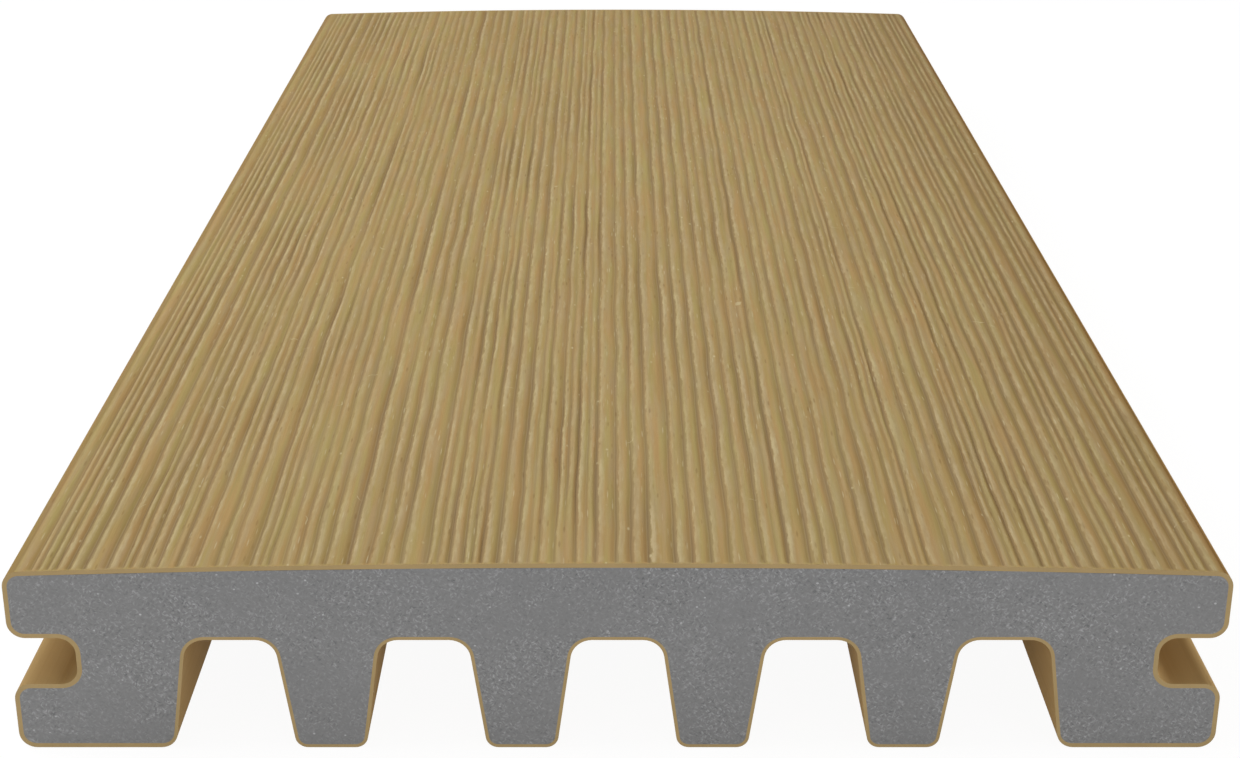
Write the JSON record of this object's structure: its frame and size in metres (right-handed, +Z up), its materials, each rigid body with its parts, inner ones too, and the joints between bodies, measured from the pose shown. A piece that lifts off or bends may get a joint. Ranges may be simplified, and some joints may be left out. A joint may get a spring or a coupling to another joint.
{
  "type": "decking board",
  "caption": "Short length of capped composite decking board: wood-grain crowned top, clip grooves in both edges, channelled underside.",
  "frame": {"origin": "on the underside plane of the feet, at mid length and mid width", "axes": "+X across the board, +Y along its length, +Z up through the walking surface"},
  "size_m": [0.14, 0.3, 0.024],
  "materials": {
    "core": "saw-cut grey composite with fine pale specks",
    "cap": "tan polymer cap, embossed wood grain on top, matt"
  },
  "bodies": {
    "root": {"core": "core", "cap": "cap"}
  },
  "joints": []
}
